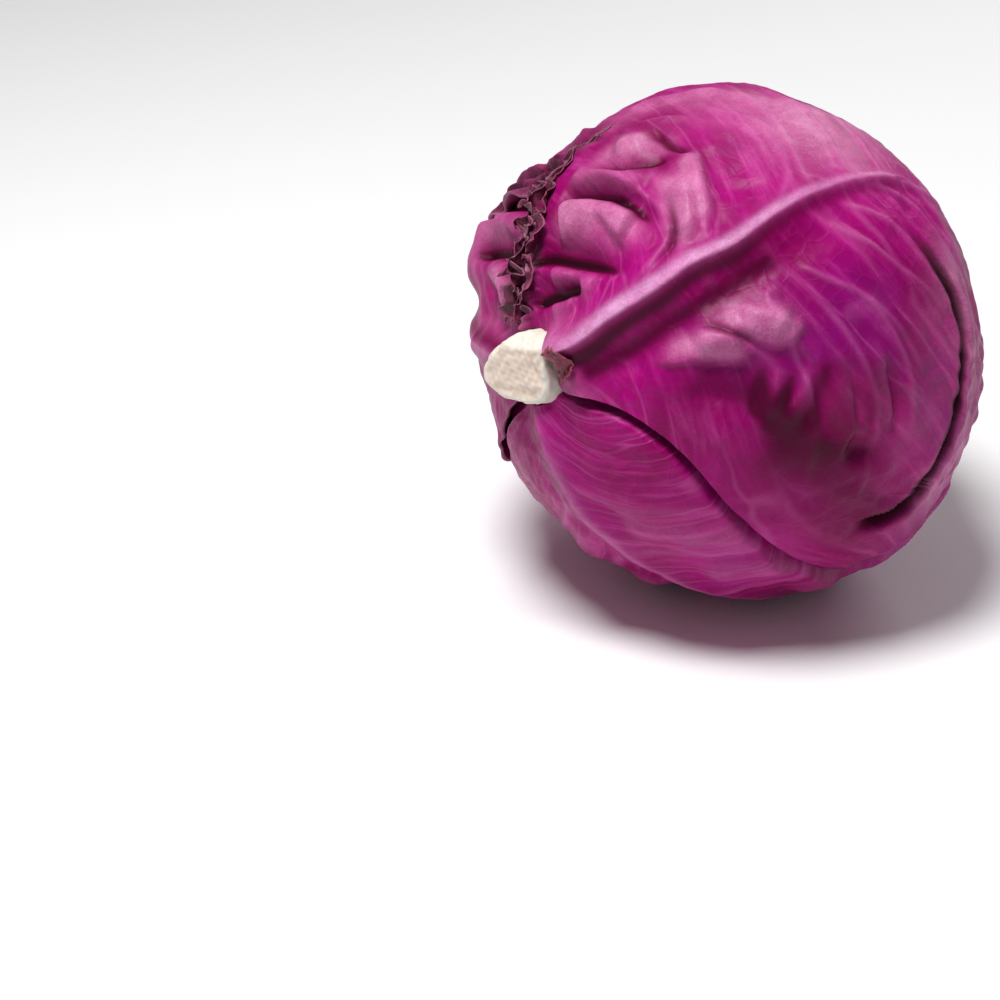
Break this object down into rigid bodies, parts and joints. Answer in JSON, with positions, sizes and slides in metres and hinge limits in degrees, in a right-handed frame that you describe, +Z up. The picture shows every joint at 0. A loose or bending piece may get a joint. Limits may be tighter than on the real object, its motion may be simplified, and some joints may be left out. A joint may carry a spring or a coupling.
{
  "type": "red cabbage head",
  "caption": "Round red cabbage head lying on its side, with overlapping ribbed outer leaves, a dried crinkled leaf edge and a cut stem.",
  "frame": {"origin": "middle of the small flat spot that the head rests on", "axes": "+Z up; the cut stem points to -X and 8.7 degrees upwards, and the crown points to +X"},
  "size_m": [0.1713, 0.167, 0.1641],
  "materials": {
    "outer_leaf": "waxy, smooth, soft gloss",
    "inner_leaf": "waxy, smooth, soft gloss",
    "heart_leaf": "smooth, dull",
    "stem_flesh": "fibrous, knife cut, dull",
    "dry_leaf": "dry, crinkled, dull"
  },
  "bodies": {
    "root": {"leaf_front": "outer_leaf", "leaf_left": "outer_leaf", "leaf_under": "outer_leaf", "leaf_inner": "inner_leaf", "leaf_low": "inner_leaf", "heart": "heart_leaf", "stem": "stem_flesh", "leaf_scrap": "dry_leaf"}
  },
  "joints": []
}
